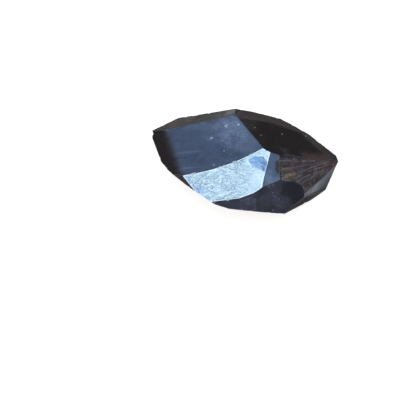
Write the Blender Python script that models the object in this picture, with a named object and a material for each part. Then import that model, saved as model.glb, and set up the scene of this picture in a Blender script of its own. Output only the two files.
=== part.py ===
"""A hematite crystal: one faceted, pointed piece of black iron ore.

The crystal is shaped the way a gem cutter writes a stone down: a block, and a list of flat cuts.
Each cut has the compass direction its face looks towards (azimuth, counted from +X towards +Y),
how far the face is tilted from level (0 looks straight up, 90 is upright, more than 90 undercuts)
and how far it lies from the heart of the crystal.

Frame: +Z up, +X along the crystal towards its point, origin on the resting face, under the middle
of the crystal. Lengths here are in millimetres and angles in degrees; the last step turns the
finished solid into metres.
"""
import math

import bmesh
import bpy
from mathutils import Vector

# ---- driving dimensions ------------------------------------------------------------------------
BLOCK = 80.0            # side of the block the crystal is cut from
HEART_HEIGHT = 7.0      # the heart sits this far above the resting face
EDGE_WEAR = 0.14        # width of the worn strip along every sharp ridge
SHARP = 15.0            # ridges that fold by more than this are sharp

BOW_START = (-12.6, -9.5)   # the bowed ridge along the front of the broad face, seen from above
BOW_END = (4.95, -1.2)
BOW_SAG = 1.3               # how far that ridge bulges from a straight line
BOW_CUTS = 6
BOW_FOLD = 23.5             # how far the bright face folds down from the broad one

LEFT_ROLL = 3.0         # radius of the soft bend at the left end of the broad face
FIBRE_ROLL = 9.0        # radius of the bend that the fibres run over
ROLL_CUTS = 3

POINT = (22.2, 3.2)     # where the fibres meet, seen from above
FIBRE_LENGTH = 16.0     # from the point to the broken ends of the fibres
FIBRES = 12
FIBRE_FIRST = 204.5     # azimuth of the first fibre, seen from the point
FIBRE_TURN = 2.9        # each next fibre turns by this much
STEP_WIDTH = 0.45       # the broken ends step down over this width
CREST_DEPTH = 0.30      # how far the fibre crests lie under the flat of the face
GROOVE_DEPTH = 0.62     # and the grooves between them
SCALLOP = 0.28          # the broken ends stand forward and back by this much

ON_PLANE = 1e-4         # a corner this close to a cut lies on it
WELD = 0.02             # corners closer than this become one
WORN_WELD = 0.01        # the same, after the ridges are worn
ON_FIBRE = 0.05         # part of a fibre's turn that still counts as lying on it
END_REACH = 0.2         # corners this far behind the broken ends still belong to them
SMOOTH_BELOW = 9.0      # folds flatter than this are shaded as one surface
METRE = 0.001           # one millimetre in metres

ORE_COLOUR = (0.12, 0.13, 0.155, 1.0)
ORE_METALLIC = 0.85
ORE_ROUGHNESS = 0.24

# ---- the cuts: name, azimuth, slope, distance from the heart ------------------------------------
TOP = [
    ("broad", 180, 12, 6.95),           # the large, nearly level face
    ("dark", 53.5, 28.5, 8.1),          # the long face behind it, towards the point
    ("small", -49, 25.5, 9.6),          # a small facet at the end of the bright one
    ("fibrous", -28, 33.5, 10.8),       # where the fibres come out at the surface
    ("striated", -29.5, 61.5, 15.1),
    ("back bevel", 127, 30.5, 9.95),
    ("shoulder", 136, 37, 12.2),
    ("left", -160, 42, 13.5),
    ("left sliver", -127, 67.5, 15.7),
    ("rim 1", 61.5, 31.5, 8.6),         # the dark face rolls over in three narrow facets
    ("rim 2", 59.5, 32.5, 8.75),
    ("rim 3", 52.5, 33.5, 9.3),
]
FRONT = [
    ("lower 1", -82, 55, 13.1),         # the lower face bows with the ridge above it
    ("lower 2", -71, 53, 12.65),
    ("lower 3", -61, 51, 12.4),
    ("lower 4", -52, 55.5, 12.5),
    ("lens", -30, 77.5, 16.9),
    ("foot strip", -41, 94.5, 16.8),
]
BACK = [
    ("back 1", 55, 80, 17.3),
    ("back 2", 67, 78, 15.6),
    ("back 3", 93, 75, 13.1),
    ("back 4", 102.5, 80, 12.7),
    ("back 5", 127, 88, 17.6),
    ("point end", 23, 79, 22.1),
]
FOOT = [
    ("left corner", -170, 94, 21.4),    # the undercut facets, from the left end around the front
    ("left foot 1", -151, 107, 17.3),
    ("left foot 2", -135, 114, 14.4),
    ("left foot 3", -119, 121, 11.5),
    ("front foot 1", -123, 120, 11.9),
    ("front foot 2", -103, 125, 11.15),
    ("front foot 3", -88, 126.5, 11.0),
    ("front foot 4", -52, 123, 15.1),
    ("right foot 1", -42, 120, 16.7),
    ("right foot 2", -10, 102.5, 21.3),
    ("right foot 3", 8, 112, 22.0),     # and on around the back
    ("back foot 1", 104, 116, 13.5),
    ("back foot 2", 58, 113, 16.5),
    ("back foot 3", 150, 112, 20.3),
    ("left foot 4", -170, 118, 19.0),
]

HEART = Vector((0.0, 0.0, HEART_HEIGHT))


# ---- faces: a normal, and a distance from the heart ------------------------------------------------
def facing(azimuth, slope):
    """The direction a face looks in."""
    turn = math.radians(azimuth)
    tilt = math.radians(slope)
    return Vector((math.sin(tilt) * math.cos(turn), math.sin(tilt) * math.sin(turn), math.cos(tilt)))


def on_face(face, x, y):
    """The point of a face above (x, y)."""
    normal, distance = face
    reach = distance + normal.dot(HEART)
    return Vector((x, y, (reach - normal.x * x - normal.y * y) / normal.z))


def folded(face, first, second, down):
    """A face hinged on the line from first to second and folded away from the given one."""
    normal, _ = face
    along = (second - first).normalized()
    out = along.cross(normal)
    if out.dot(HEART - first) > 0:
        out.negate()
    angle = math.radians(down)
    turned = normal * math.cos(angle) + out * math.sin(angle)
    return turned, turned.dot(first - HEART)


def bowed(face, start, end, sag, count, down):
    """Cuts hinged one after another on a shallow arc drawn on a face, all folded by one angle."""
    start = Vector(start)
    end = Vector(end)
    chord = end - start
    side = Vector((chord.y, -chord.x)).normalized()
    arc = []
    for step in range(count + 1):
        t = step / count
        flat = start + chord * t + side * (sag * 4.0 * t * (1.0 - t))
        arc.append(on_face(face, flat.x, flat.y))
    return [folded(face, a, b, down) for a, b in zip(arc, arc[1:])]


def rolled(one, other, radius, count):
    """Narrow cuts that round the ridge between two faces to the given radius."""
    (n1, d1), (n2, d2) = one, other
    lean = n1.dot(n2)
    # the axis of the round lies at the same depth under both faces
    a = ((d1 - radius) - (d2 - radius) * lean) / (1.0 - lean * lean)
    b = ((d2 - radius) - (d1 - radius) * lean) / (1.0 - lean * lean)
    axis = n1 * a + n2 * b
    cuts = []
    for step in range(1, count + 1):
        normal = n1.slerp(n2, step / (count + 1))
        cuts.append((normal, normal.dot(axis) + radius))
    return cuts


def cutting_list():
    """Every cut by name, in the order they are made."""
    cuts = {name: (facing(azimuth, slope), distance)
            for name, azimuth, slope, distance in TOP + FRONT + BACK + FOOT}
    fans = {
        "bright": bowed(cuts["broad"], BOW_START, BOW_END, BOW_SAG, BOW_CUTS, BOW_FOLD),
        "left roll": rolled(cuts["broad"], cuts["left"], LEFT_ROLL, ROLL_CUTS),
        "fibre roll": rolled(cuts["fibrous"], cuts["striated"], FIBRE_ROLL, ROLL_CUTS),
    }
    for name, fan in fans.items():
        for number, cut in enumerate(fan):
            cuts["%s %d" % (name, number + 1)] = cut
    cuts["resting"] = (Vector((0.0, 0.0, -1.0)), HEART_HEIGHT)
    return cuts


# ---- cutting the block ------------------------------------------------------------------------------
def slice_off(bm, layer, number, face):
    """Cut everything outside a face away, and close the solid with that face."""
    normal, distance = face
    everything = bm.verts[:] + bm.edges[:] + bm.faces[:]
    cut = bmesh.ops.bisect_plane(bm, geom=everything, dist=ON_PLANE, clear_outer=True,
                                 plane_co=HEART + normal * distance, plane_no=normal)
    rim = [part for part in cut["geom_cut"] if isinstance(part, bmesh.types.BMEdge)]
    for made in bmesh.ops.holes_fill(bm, edges=rim, sides=0)["faces"]:
        made[layer] = number


def cut_block(cuts):
    """The block with every cut made; each face remembers the number of its cut."""
    bm = bmesh.new()
    bmesh.ops.create_cube(bm, size=BLOCK)
    bmesh.ops.translate(bm, vec=HEART, verts=bm.verts)
    layer = bm.faces.layers.int.new("cut")
    for number, face in enumerate(cuts.values()):
        slice_off(bm, layer, number, face)
    bmesh.ops.remove_doubles(bm, verts=bm.verts, dist=WELD)
    return bm, layer


def wear_ridges(bm):
    """A narrow worn strip along every sharp ridge."""
    sharp = [edge for edge in bm.edges
             if edge.is_manifold and edge.calc_face_angle() > math.radians(SHARP)]
    bmesh.ops.bevel(bm, geom=sharp, offset=EDGE_WEAR, offset_type="OFFSET", segments=1, profile=0.5,
                    affect="EDGES", clamp_overlap=True)
    bmesh.ops.remove_doubles(bm, verts=bm.verts, dist=WORN_WELD)


def grow_fibres(bm, layer, cuts):
    """Fold the fibrous faces into crests and grooves that all run to the point."""
    numbers = {number for number, name in enumerate(cuts)
               if name in ("fibrous", "striated") or name.startswith("fibre roll")}
    point = Vector((POINT[0], POINT[1], 0.0))
    heading = math.radians(FIBRE_FIRST + FIBRE_TURN * (FIBRES - 1) / 2.0)
    middle = Vector((math.cos(heading), math.sin(heading), 0.0))

    def patch():
        return [face for face in bm.faces if face[layer] in numbers]

    def split(where, normal):
        faces = patch()
        edges = list({edge for face in faces for edge in face.edges})
        verts = list({vert for face in faces for vert in face.verts})
        bmesh.ops.bisect_plane(bm, geom=verts + edges + faces, dist=ON_PLANE,
                               plane_co=where, plane_no=normal)

    # the broken ends: a line just inside the edge towards the small facet
    small, _ = cuts["small"]
    fibrous, _ = cuts["fibrous"]
    inward = (fibrous - small * small.dot(fibrous)).normalized()
    ends = min(vert.co.dot(inward) for face in patch() for vert in face.verts)
    split(inward * (ends + STEP_WIDTH), inward)

    # one upright split along each fibre
    for fibre in range(FIBRES):
        turn = math.radians(FIBRE_FIRST + FIBRE_TURN * fibre)
        split(point, Vector((-math.sin(turn), math.cos(turn), 0.0)))

    # inner points sink: crests a little, grooves more, both dying out towards the point
    faces = set(patch())
    inner = [vert for vert in {v for face in faces for v in face.verts}
             if all(face in faces for face in vert.link_faces)]
    for vert in inner:
        away = Vector((vert.co.x, vert.co.y, 0.0)) - point
        turn = math.degrees(math.atan2(away.y, away.x)) % 360.0
        place = (turn - FIBRE_FIRST) / FIBRE_TURN
        groove = abs(place - round(place)) < ON_FIBRE and round(place) % 2 == 0
        fade = min(1.0, away.length / FIBRE_LENGTH)
        vert.co -= fibrous * (GROOVE_DEPTH if groove else CREST_DEPTH) * fade
        if vert.co.dot(inward) < ends + STEP_WIDTH + END_REACH:
            vert.co += middle * (SCALLOP if groove else -SCALLOP)
    bmesh.ops.triangulate(bm, faces=patch())


def centre_and_size(bm):
    """Put the origin under the middle of the crystal, and turn millimetres into metres."""
    low = Vector([min(vert.co[k] for vert in bm.verts) for k in range(3)])
    high = Vector([max(vert.co[k] for vert in bm.verts) for k in range(3)])
    middle = Vector(((low.x + high.x) / 2.0, (low.y + high.y) / 2.0, low.z))
    bmesh.ops.translate(bm, vec=-middle, verts=bm.verts)
    bmesh.ops.scale(bm, vec=(METRE, METRE, METRE), verts=bm.verts)


# ---- the material and the object ------------------------------------------------------------------
def hematite():
    """Black, shiny iron ore with a blue cast."""
    ore = bpy.data.materials.new("hematite")
    ore.use_nodes = True
    shader = ore.node_tree.nodes["Principled BSDF"]
    shader.inputs["Base Color"].default_value = ORE_COLOUR
    shader.inputs["Metallic"].default_value = ORE_METALLIC
    shader.inputs["Roughness"].default_value = ORE_ROUGHNESS
    return ore


def crystal():
    """The whole crystal as one object."""
    cuts = cutting_list()
    bm, layer = cut_block(cuts)
    wear_ridges(bm)
    grow_fibres(bm, layer, cuts)
    bmesh.ops.recalc_face_normals(bm, faces=bm.faces)
    centre_and_size(bm)

    mesh = bpy.data.meshes.new("hematite_crystal")
    bm.to_mesh(mesh)
    bm.free()
    mesh.shade_smooth()
    mesh.set_sharp_from_angle(angle=math.radians(SMOOTH_BELOW))
    mesh.materials.append(hematite())
    made = bpy.data.objects.new("hematite_crystal", mesh)
    bpy.context.scene.collection.objects.link(made)


for old in list(bpy.data.objects):
    bpy.data.objects.remove(old, do_unlink=True)
crystal()
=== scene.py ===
# %% [markdown]
# # A hematite crystal
# Hematite is iron ore. A good crystal of it is black, heavy and shiny like worn steel, with flat
# faces that meet in sharp ridges. Every face reflects another part of the room, so one face is
# white-blue and its neighbour is nearly black, although both are the same mineral.
# The solid from CAD gives the flat faces. This lesson covers it with a fine skin that has what
# flat cuts lack: a crinkled face, a break that shows the fibres, pits, scratches and worn ridges.

# %% Load the frame
import math

import bmesh
import bpy
import numpy as np
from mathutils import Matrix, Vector
from mathutils.bvhtree import BVHTree
from mathutils.geometry import delaunay_2d_cdt


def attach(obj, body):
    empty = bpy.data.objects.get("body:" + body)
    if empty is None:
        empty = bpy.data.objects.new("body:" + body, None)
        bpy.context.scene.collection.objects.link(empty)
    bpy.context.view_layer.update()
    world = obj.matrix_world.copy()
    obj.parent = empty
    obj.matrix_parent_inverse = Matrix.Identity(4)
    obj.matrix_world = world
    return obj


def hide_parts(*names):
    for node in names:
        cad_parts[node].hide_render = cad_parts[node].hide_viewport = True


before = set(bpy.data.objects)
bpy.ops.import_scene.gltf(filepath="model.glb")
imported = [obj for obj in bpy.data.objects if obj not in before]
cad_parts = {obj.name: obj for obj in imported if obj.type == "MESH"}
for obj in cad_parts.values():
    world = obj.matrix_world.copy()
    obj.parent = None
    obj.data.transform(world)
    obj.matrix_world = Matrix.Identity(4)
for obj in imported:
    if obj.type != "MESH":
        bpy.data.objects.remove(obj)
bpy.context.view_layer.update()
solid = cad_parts["hematite_crystal"]
MM = 0.001

# %% [markdown]
# ## Reading the faces of the solid
# A CAD mesh arrives as loose triangles. To work on whole faces, a copy of it is welded and the
# triangles that lie in one plane are dissolved into one polygon. Each polygon then gets the name
# of the crystal face that looks its way. The directions are written as a stone cutter writes
# them: the compass bearing of a face, and how far it is tilted from level, both in degrees.

# %% Name the directions
FACES = {
    "broad": (180, 12), "left roll a": (-169.5, 19.3), "left roll b": (-164.7, 26.7),
    "left roll c": (-161.9, 34.4), "left": (-160, 42), "left sliver": (-127, 67.5),
    "bright a": (-105.3, 23.8), "bright b": (-101.1, 22.8), "bright c": (-96.6, 21.8),
    "bright d": (-91.9, 20.8), "bright e": (-86.9, 19.7), "bright f": (-81.8, 18.7),
    "small": (-49, 25.5), "dark": (53.5, 28.5), "rim a": (61.5, 31.5), "rim b": (59.5, 32.5),
    "rim c": (52.5, 33.5), "back bevel": (127, 30.5), "shoulder": (136, 37),
    "lower a": (-82, 55), "lower b": (-71, 53), "lower c": (-61, 51), "lower d": (-52, 55.5),
    "lens": (-30, 77.5), "foot strip": (-41, 94.5),
    "back a": (55, 80), "back b": (67, 78), "back c": (93, 75), "back d": (102.5, 80),
    "back e": (127, 88), "point end": (23, 79), "left corner": (-170, 94),
    "foot a": (-151, 107), "foot b": (-135, 114), "foot c": (-119, 121), "foot d": (-123, 120),
    "foot e": (-103, 125), "foot f": (-88, 126.5), "foot g": (-52, 123), "foot h": (-42, 120),
    "foot i": (-10, 102.5), "foot j": (8, 112), "foot k": (104, 116), "foot l": (58, 113),
    "foot m": (150, 112), "foot n": (-170, 118), "resting": (0, 180),
}


def facing(azimuth, slope):
    turn, tilt = math.radians(azimuth), math.radians(slope)
    flat = math.sin(tilt)
    return Vector((flat * math.cos(turn), flat * math.sin(turn), math.cos(tilt)))


looks = {name: facing(*turned) for name, turned in FACES.items()}
print("directions:", len(looks))

# %% Weld the copy and match its polygons
WELD = 2e-6                         # corners nearer than this are one corner, m
ONE_PLANE = math.radians(0.6)       # triangles that differ by less lie in one plane
MATCH = math.radians(1.6)           # a polygon that differs by less bears the name
THIN = 0.16 * MM                    # a narrower polygon is a worn strip, and has no name
plain = bmesh.new()
plain.from_mesh(solid.data)
bmesh.ops.remove_doubles(plain, verts=plain.verts, dist=WELD)
bmesh.ops.dissolve_limit(plain, angle_limit=ONE_PLANE, verts=plain.verts, edges=plain.edges)
plain.verts.index_update()
plain.faces.index_update()
plain.faces.ensure_lookup_table()

named = {}
for face in plain.faces:
    face.normal_update()
    name = min(looks, key=lambda key: face.normal.angle(looks[key]))
    width = 2.0 * face.calc_area() / face.calc_perimeter()
    if face.normal.angle(looks[name]) < MATCH and width > THIN:
        named[face.index] = name
found = set(named.values())
print("polygons:", len(plain.faces), "named:", len(named), "faces found:", len(found))
print("not found:", sorted(set(looks) - found))

# %% [markdown]
# The one part of a solid like this that isn't bulging is the fibrous break near the point. So it
# is found by shrink-wrapping: wrap the solid in its convex hull, and every corner that doesn't
# touch the wrapping lies in the hollow.

# %% Find the hollow break
HOLLOW = 0.015 * MM   # a corner deeper than this under the wrapping is in the hollow
wrap = bmesh.new()
for vert in plain.verts:
    wrap.verts.new(vert.co)
bmesh.ops.convex_hull(wrap, input=wrap.verts)
wrapping = BVHTree.FromBMesh(wrap)
wrap.free()
sunk = {vert for vert in plain.verts if wrapping.find_nearest(vert.co)[3] > HOLLOW}
hollow = {face for face in plain.faces if any(vert in sunk for vert in face.verts)}
inside = {vert for face in hollow for vert in face.verts}
hollow |= {face for face in plain.faces
           if face.index not in named and inside.issuperset(face.verts)}
named.update({face.index: "break" for face in hollow})
print("hollow polygons:", len(hollow))

# %% [markdown]
# ## Regions
# Neighbouring faces that run into each other without a ridge are treated as one region, and each
# region says how finely its skin is tiled and how far its inner folds are softened. The crinkled
# face needs the smallest tiles, and the face it rests on needs hardly any. What has no name is
# the narrow worn strip along a ridge.

# %% Sort the faces into regions
REGIONS = {     # faces, distance between the skin's points, softening of its inner folds, in mm
    "ridge": ([], 0.25, 0.0),
    "broad": (["broad", "left roll a", "left roll b", "left roll c", "left"], 0.18, 0.9),
    "bright": (["bright " + letter for letter in "abcdef"], 0.09, 1.4),
    "small": (["small"], 0.14, 0.0),
    "break": (["break"], 0.12, 0.12),
    "dark": (["dark", "rim a", "rim b", "rim c"], 0.20, 0.4),
    "band": (["back bevel", "shoulder"], 0.22, 0.3),
    "lower": (["lower " + letter for letter in "abcd"], 0.19, 0.7),
    "lens": (["lens"], 0.18, 0.0),
    "resting": (["resting"], 0.9, 0.0),
}
listed = {name for faces, _, _ in REGIONS.values() for name in faces}
REGIONS["side"] = (sorted(set(looks) - listed), 0.26, 0.0)
region_names = list(REGIONS)
region_of = {name: key for key, (faces, _, _) in REGIONS.items() for name in faces}


def region(face):
    return region_of.get(named.get(face.index), "ridge")


def spacing(face):
    return REGIONS[region(face)][1] * MM


def patch(face):
    """What is shaded as one surface: a softened region, or else a single face."""
    softened = REGIONS[region(face)][2] > 0.0
    return region(face) if softened else named.get(face.index, "ridge")


for name in region_names:
    areas = [face.calc_area() for face in plain.faces if region(face) == name]
    print("%-8s %3d polygons %7.1f mm2" % (name, len(areas), sum(areas) / MM ** 2))

# %% [markdown]
# A thin brown-grey film of iron oxide dulls the faces around the back, and it is worn off the ones
# on top. On the faces near the ground and turned away from the light, the same darkening is also
# painted shade. Each face says how much of it is left, from 0 to 1.

# %% How much film and painted shade each face has
FILM_AND_SHADE = {
    "left roll a": 0.1, "left roll b": 0.2, "left roll c": 0.25, "left": 0.28, "left sliver": 1.0,
    "dark": 0.7, "rim a": 0.12, "rim b": 0.12, "rim c": 0.05, "back bevel": 0.15, "shoulder": 0.2,
    "lower d": 0.12, "foot strip": 1.0,
}
CLEAN = ["broad", "small", "lower a", "lower b", "lower c", "lens", "break", *REGIONS["bright"][0]]
FILM_AND_SHADE.update({name: 0.0 for name in CLEAN})
FILM_AND_SHADE_BELOW = 0.7      # every face that isn't listed
print("clean faces:", len(CLEAN), "filmed:", len(FILM_AND_SHADE) - len(CLEAN))

# %% [markdown]
# ## The fine skin
# Each face is tiled afresh. Its outline is divided evenly, and both faces at an edge share those
# points, so the skin stays closed. Inside, points lie on a triangular grid, and Blender's
# Delaunay triangulation joins them into even triangles. Subdividing the polygons would be quicker
# to write, but it makes slivers, and slivers show as streaks in a mirror-like surface.

# %% Divide the outlines
points = [vert.co.copy() for vert in plain.verts]
along = {}
for edge in plain.edges:
    a, b = edge.verts
    parts = max(1, round(edge.calc_length() / min(spacing(face) for face in edge.link_faces)))
    first = len(points)
    points += [a.co.lerp(b.co, k / parts) for k in range(1, parts)]
    along[edge] = [a.index, *range(first, len(points)), b.index]


def outline(loops):
    """Point numbers around a face, without the last of each edge."""
    ring = []
    for loop in loops:
        run = along[loop.edge]
        run = run if run[0] == loop.vert.index else run[::-1]
        ring += run[:-1]
    return ring


print("points on the outlines:", len(points))

# %% [markdown]
# A grid point is used if it lies inside the outline and not too close to it. Whether it is inside
# is found by looking from it in one direction and counting how often the outline is crossed: an
# odd number means inside. A square with its middle point is a quick test.

# %% Measure from an outline
def to_outline(flat, ring):
    """Distance from each point to a closed outline, and whether the point is inside."""
    a, b = ring, np.roll(ring, -1, axis=0)
    side = b - a
    t = np.clip(((flat[:, None] - a) * side).sum(2) / (side ** 2).sum(1), 0.0, 1.0)
    gap = np.linalg.norm(a + t[..., None] * side - flat[:, None], axis=2).min(1)
    above = (a[:, 1] > flat[:, None, 1]) != (b[:, 1] > flat[:, None, 1])
    rise = np.where(side[:, 1] == 0.0, 1.0, side[:, 1])
    cross = a[:, 0] + (flat[:, None, 1] - a[:, 1]) / rise * side[:, 0]
    return gap, (above & (flat[:, None, 0] < cross)).sum(1) % 2 == 1


SQUARE = np.array([(0.0, 0.0), (1.0, 0.0), (1.0, 1.0), (0.0, 1.0)])
print("from the middle of a square:", *to_outline(np.array([(0.5, 0.5)]), SQUARE))

# %% Fill an outline with triangles
CLEAR = 0.55              # grid points stay this share of the spacing away from the outline
ROW = math.sqrt(0.75)     # rows of a triangular grid, in spacings
INSIDE_ONLY = 1           # the kind of result: only the triangles inside the outline
SAME_SPOT = 1e-12         # points nearer than this are one, m


def fill(ring, normal, step):
    """Triangles over an outline; new grid points are added to points."""
    u = normal.orthogonal().normalized()
    v = normal.cross(u)
    start = points[ring[0]]
    flat = np.array([((points[i] - start).dot(u), (points[i] - start).dot(v)) for i in ring])
    low, high = flat.min(0), flat.max(0)
    row = np.arange(low[1], high[1], step * ROW)
    column = np.arange(low[0], high[0] + step, step)
    grid = np.array([(x + step * 0.5 * (k % 2), y) for k, y in enumerate(row) for x in column])
    new = np.empty((0, 2))
    if len(grid):
        gap, inner = to_outline(grid, flat)
        new = grid[inner & (gap > CLEAR * step)]
    first = len(points)
    points.extend(start + u * x + v * y for x, y in new)
    numbers = list(ring) + list(range(first, len(points)))
    every = [Vector(p) for p in np.vstack([flat, new])]
    made = delaunay_2d_cdt(every, [], [list(range(len(ring)))], INSIDE_ONLY, SAME_SPOT)
    back = [numbers[source[0]] for source in made[3]]
    return [[back[k] for k in triangle] for triangle in made[2]], range(first, len(points))


print("rows per mm for the crinkled face:", round(1.0 / (REGIONS["bright"][1] * ROW), 1))

# %% Tile every face
triangles, tile_patch, tile_region, tile_film_and_shade = [], [], [], []
patches = ["ridge"]


def keep(made, face):
    if patch(face) not in patches:
        patches.append(patch(face))
    triangles.extend(made)
    tile_patch.extend([patches.index(patch(face))] * len(made))
    tile_region.extend([region_names.index(region(face))] * len(made))
    tile_film_and_shade.extend([FILM_AND_SHADE.get(named.get(face.index), FILM_AND_SHADE_BELOW)] * len(made))


for face in plain.faces:
    if face not in hollow:
        keep(fill(outline(face.loops), face.normal, spacing(face))[0], face)
print("triangles so far:", len(triangles), "points:", len(points))

# %% [markdown]
# The break isn't flat, so it is tiled in two steps: its outline is laid flat and filled like the
# others, and then every new point is dropped from above until it meets the solid.

# %% Tile the break
ABOVE = 5.0 * MM      # where the dropping starts
rim = {}
hollow_faces = [face for face in plain.faces if face in hollow]
for face in hollow_faces:
    for loop in face.loops:
        if any(other not in hollow for other in loop.edge.link_faces):
            rim[loop.vert] = loop
loops = [next(iter(rim.values()))]
while loops[-1].link_loop_next.vert is not loops[0].vert:
    loops.append(rim[loops[-1].link_loop_next.vert])
upwards = sum((face.normal * face.calc_area() for face in hollow_faces), Vector()).normalized()
surface = BVHTree.FromBMesh(plain)
made, fresh = fill(outline(loops), upwards, spacing(hollow_faces[0]))
for number in fresh:
    hit = surface.ray_cast(points[number] + upwards * ABOVE, -upwards)[0]
    points[number] = hit if hit else points[number]
keep(made, hollow_faces[0])
print("triangles:", len(triangles), "points:", len(points))

# %% [markdown]
# ## Softening the folds
# Some faces of the solid are short flats standing in for a curve: the bow of the bright face, the
# soft bend at the left end. Averaging each point with its neighbours, over and over, spreads such
# a fold like ink on wet paper. The outline of a region stays put, so its ridges stay sharp, and
# because the solid bulges there, the averaging only ever moves points inwards.

# %% Number the points that are used, and find the borders
triangles, tile_patch, tile_region = map(np.array, (triangles, tile_patch, tile_region))
used, triangles = np.unique(triangles, return_inverse=True)
triangles = triangles.reshape(-1, 3)
spots = np.array([points[number] for number in used])
count = len(spots)

sides = np.sort(triangles[:, [0, 1, 1, 2, 2, 0]].reshape(-1, 2), axis=1)
sides, which = np.unique(sides, axis=0, return_inverse=True)
patch_of_side = np.repeat(tile_patch, 3)
lowest = np.full(len(sides), len(patches))
highest = np.full(len(sides), -1)
np.minimum.at(lowest, which.ravel(), patch_of_side)
np.maximum.at(highest, which.ravel(), patch_of_side)
on_border = np.zeros(count, bool)
on_border[sides[lowest != highest].ravel()] = True
print("points:", count, "on a border:", on_border.sum())

# %% Soften
PULL = 0.6            # how far a point moves towards the average in one round
ROUNDS = 1.5          # rounds for a fold as wide as the spacing; they grow with its square


def tiles_of(*wanted):
    return np.isin(tile_region, [region_names.index(name) for name in wanted])


def spread(values, pairs, free, pull, rounds):
    """Move the free values towards the average of their neighbours, over and over."""
    degree = np.maximum(np.bincount(pairs.ravel(), minlength=count), 1)
    for _ in range(rounds):
        total = (np.bincount(pairs[:, 0], values[pairs[:, 1]], count)
                 + np.bincount(pairs[:, 1], values[pairs[:, 0]], count))
        values[free] += pull * (total / degree - values)[free]


before = spots.copy()
for name, (_, step, soft) in REGIONS.items():
    if soft > 0.0:
        mine = np.zeros(count, bool)
        mine[triangles[tiles_of(name)].ravel()] = True
        for axis in range(3):
            spread(spots[:, axis], sides[mine[sides].all(1)], mine & ~on_border, PULL,
                   round(ROUNDS * (soft / step) ** 2))
print("furthest moved, mm:", round(np.linalg.norm(spots - before, axis=1).max() / MM, 3))

# %% [markdown]
# The skin becomes a mesh with a few attributes, numbers stored at every point: how far inside its
# face the point lies, how far it is from the break, how much film and painted shade it has, and
# how strongly each kind of relief works on it. The relief fades out towards a ridge, and the wear
# begins there.

# %% Measure every point
FADE = 0.35           # the relief grows to full height over this distance from a ridge, mm
CHUNK = 2000          # points measured at a time, to spare the memory
FILM_AND_SHADE_PULL, FILM_AND_SHADE_ROUNDS = 0.7, 6


def smooth_step(value):
    value = np.clip(value, 0.0, 1.0)
    return value * value * (3.0 - 2.0 * value)


def nearest(places, others):
    """Distance in mm from each place to the nearest of the others."""
    return np.concatenate([np.linalg.norm(places[k:k + CHUNK, None] - others, axis=2).min(1)
                           for k in range(0, len(places), CHUNK)]) / MM


inset = np.zeros(count)
for number in range(1, len(patches)):
    mine = np.unique(triangles[tile_patch == number])
    bordering = on_border[mine]
    inset[mine] = np.where(bordering, 0.0, nearest(spots[mine], spots[mine[bordering]]))
broken = np.unique(triangles[tiles_of("break")])
to_break = nearest(spots, spots[broken[on_border[broken]]])
film_and_shade = np.zeros(count)
np.add.at(film_and_shade, triangles.ravel(), np.repeat(tile_film_and_shade, 3))
film_and_shade /= np.bincount(triangles.ravel(), minlength=count)
spread(film_and_shade, sides, ~on_border, FILM_AND_SHADE_PULL, FILM_AND_SHADE_ROUNDS)
print("deepest inset, mm:", round(inset.max(), 2))

# %% Make the mesh
FINISHES = {          # the regions that each finish covers
    "ridge": ["ridge"],
    "polished": ["broad", "small", "dark", "lower", "lens"],
    "crinkled": ["bright"],
    "fibrous": ["break"],
    "weathered": ["band", "side", "resting"],
}
OFF_GROUND = 0.4 * MM     # the edges that it rests on aren't nicked
NICKED = 0.2              # how fast the nicks die away from a ridge, mm
WHOLE, EASING = 0.2, 0.6  # none within this distance of the break, then growing over this much, mm
skin = bpy.data.meshes.new("crystal")
skin.from_pydata(spots.tolist(), [], triangles.tolist())


def store(name, values, kind="FLOAT", domain="POINT"):
    skin.attributes.new(name, kind, domain).data.foreach_set("value", values)


finish = np.zeros(len(triangles), int)
for number, (name, wanted) in enumerate(FINISHES.items()):
    finish[tiles_of(*wanted)] = number
    lifted = np.zeros(count)
    lifted[triangles[tiles_of(*wanted) & ~tiles_of("resting")].ravel()] = 1.0
    lifted *= smooth_step(inset / FADE)
    if name == "ridge":
        lifted = (np.where(spots[:, 2] > OFF_GROUND, np.exp(-inset / NICKED), 0.0)
                  * smooth_step((to_break - WHOLE) / EASING))
    store(name, lifted)
for name, values in (("inset", inset), ("film_and_shade", film_and_shade), ("to_break", to_break)):
    store(name, values)
for name, values in (("patch", tile_patch), ("finish", finish)):
    store(name, values, "INT", "FACE")
print("skin:", len(skin.vertices), "points,", len(skin.polygons), "triangles")

# %% [markdown]
# ## Building with nodes
# Relief and colour both come from node trees. They could be wired by hand in the editor, but
# written down they can be read and changed by their numbers. `join` sets the inputs of a node or
# links them, by name or number. `wire` adds a node, joins it, and hands back the output to go on
# with. The others are short ways to write the nodes that come back most often.

# %% Helpers for numbers
def join(tree, node, inputs):
    for name, value in inputs.items():
        if isinstance(value, bpy.types.NodeSocket):
            tree.links.new(value, node.inputs[name])
        else:
            node.inputs[name].default_value = value


def wire(tree, kind, inputs=None, out=None, **settings):
    made = tree.nodes.new(kind)
    for name, value in settings.items():
        setattr(made, name, value)
    join(tree, made, inputs or {})
    if out is not None:
        return made.outputs[out]
    return next((socket for socket in made.outputs if socket.enabled), made)


def sums(tree, operation, *values, clamp=False):
    """Arithmetic on numbers."""
    return wire(tree, "ShaderNodeMath", dict(enumerate(values)), operation=operation,
                use_clamp=clamp)


def times(tree, value, *others):
    for other in others:
        value = sums(tree, "MULTIPLY", value, other)
    return value


def plus(tree, value, *others):
    for other in others:
        value = sums(tree, "ADD", value, other)
    return value


def mixed(tree, share, old, new, kind="FLOAT"):
    """Old where the share is 0, new where it is 1."""
    first = {"FLOAT": 2, "RGBA": 6}[kind]      # the node has sockets for every kind, in this order
    return wire(tree, "ShaderNodeMix", {0: share, first: old, first + 1: new}, data_type=kind)


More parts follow.
